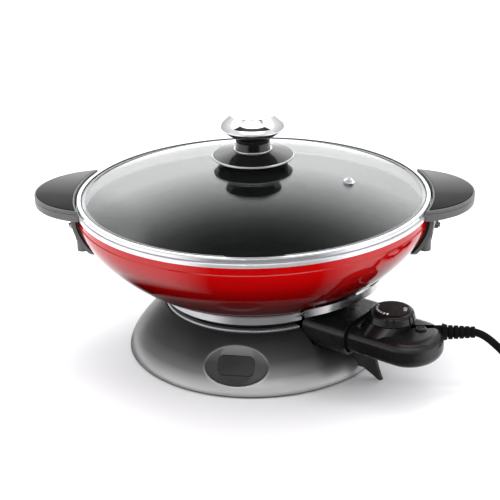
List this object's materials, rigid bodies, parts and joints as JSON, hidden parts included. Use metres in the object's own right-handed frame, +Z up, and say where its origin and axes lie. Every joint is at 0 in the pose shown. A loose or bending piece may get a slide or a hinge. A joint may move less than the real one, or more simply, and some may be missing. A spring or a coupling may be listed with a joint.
{
  "type": "electric wok",
  "caption": "Free-standing electric wok: round bowl on a flared pedestal with a lift-off glass lid, two side handles and a plug-in thermostat with a turning dial.",
  "frame": {"origin": "on the table under the centre of the pedestal", "axes": "+X through the right-hand handle, +Z up, -Y towards the side with the badge"},
  "size_m": [0.5848, 0.3554, 0.2454],
  "materials": {
    "red_enamel": "cast aluminium with glossy deep red enamel outside, black non-stick inside",
    "bright_rim": "polished bare metal",
    "bare_aluminium": "turned bare aluminium",
    "sheet_steel": "bright rolled sheet",
    "band_steel": "polished rolled band",
    "element_steel": "dull sheathed tube",
    "fastener_steel": "zinc plated",
    "gunmetal": "satin gunmetal-lacquered moulding",
    "charcoal": "satin charcoal moulding",
    "black_plastic": "fine-grained black moulding",
    "gloss_black": "polished black moulding",
    "handle_grey": "satin dark grey moulding",
    "seal_rubber": "heat-resistant black rubber",
    "foot_rubber": "soft black rubber",
    "cord_rubber": "smooth black cord sheath",
    "lid_glass": "clear tempered glass",
    "chrome": "mirror chrome",
    "lamp_red": "tinted translucent lens",
    "contact_metal": "nickel-plated contacts"
  },
  "bodies": {
    "cooker": {"base_skirt": "gunmetal", "base_top_ring": "gunmetal", "base_bottom_cover": "black_plastic", "base_badge_plate": "gloss_black", "rubber_feet": "foot_rubber", "base_screws": "fastener_steel", "spacer_ring": "black_plastic", "support_toe": "charcoal", "wok_bowl": "red_enamel", "wok_rim": "bright_rim", "wok_foot_ring": "bare_aluminium", "heating_element": "element_steel", "contact_pins": "contact_metal", "terminal_bracket": "sheet_steel", "sensor_boss": "bare_aluminium", "heat_reflector": "sheet_steel", "centre_stud": "fastener_steel", "stud_washer": "fastener_steel", "stud_nut": "fastener_steel", "heat_shield": "sheet_steel", "probe_shroud": "charcoal", "handle_grip_right": "black_plastic", "handle_grip_left": "black_plastic", "handle_cap_right": "handle_grey", "handle_cap_left": "handle_grey", "handle_saddle_right": "handle_grey", "handle_saddle_left": "handle_grey", "handle_pad_right": "seal_rubber", "handle_pad_left": "seal_rubber", "handle_screws": "fastener_steel", "handle_studs": "fastener_steel", "handle_nuts": "fastener_steel"},
    "lid": {"lid_glass": "lid_glass", "lid_band": "band_steel", "lid_seal": "seal_rubber", "vent_grommet": "band_steel", "knob_guard_disc": "gloss_black", "knob_guard_trim": "chrome", "knob_neck_ring": "chrome", "knob_neck": "gloss_black", "knob_cap": "chrome", "knob_screw": "fastener_steel", "knob_washer": "fastener_steel"},
    "probe": {"thermostat_upper": "charcoal", "thermostat_lower": "charcoal", "contact_block": "black_plastic", "sensor_stem": "contact_metal", "switch_block": "black_plastic", "lamp_bezel": "chrome", "lamp_lens": "lamp_red", "strain_relief": "cord_rubber", "power_cord": "cord_rubber", "cord_coil": "cord_rubber", "plug_body": "cord_rubber", "plug_blades": "contact_metal"},
    "dial": {"dial_grip": "charcoal", "dial_face": "charcoal", "dial_spindle": "fastener_steel"}
  },
  "joints": [
    {"name": "lid_lift", "type": "slide", "parent": "cooker", "child": "lid", "axis": [0, 0, 1], "range_m": [0, 0.12]},
    {"name": "probe_pull", "type": "slide", "parent": "cooker", "child": "probe", "axis": [0.809, -0.5878, 0], "range_m": [0, 0.09]},
    {"name": "dial_turn", "type": "hinge", "parent": "probe", "child": "dial", "pos_m": [0.13511, -0.09816, 0.075], "axis": [0, 0, 1], "range_deg": [0, 270]}
  ]
}
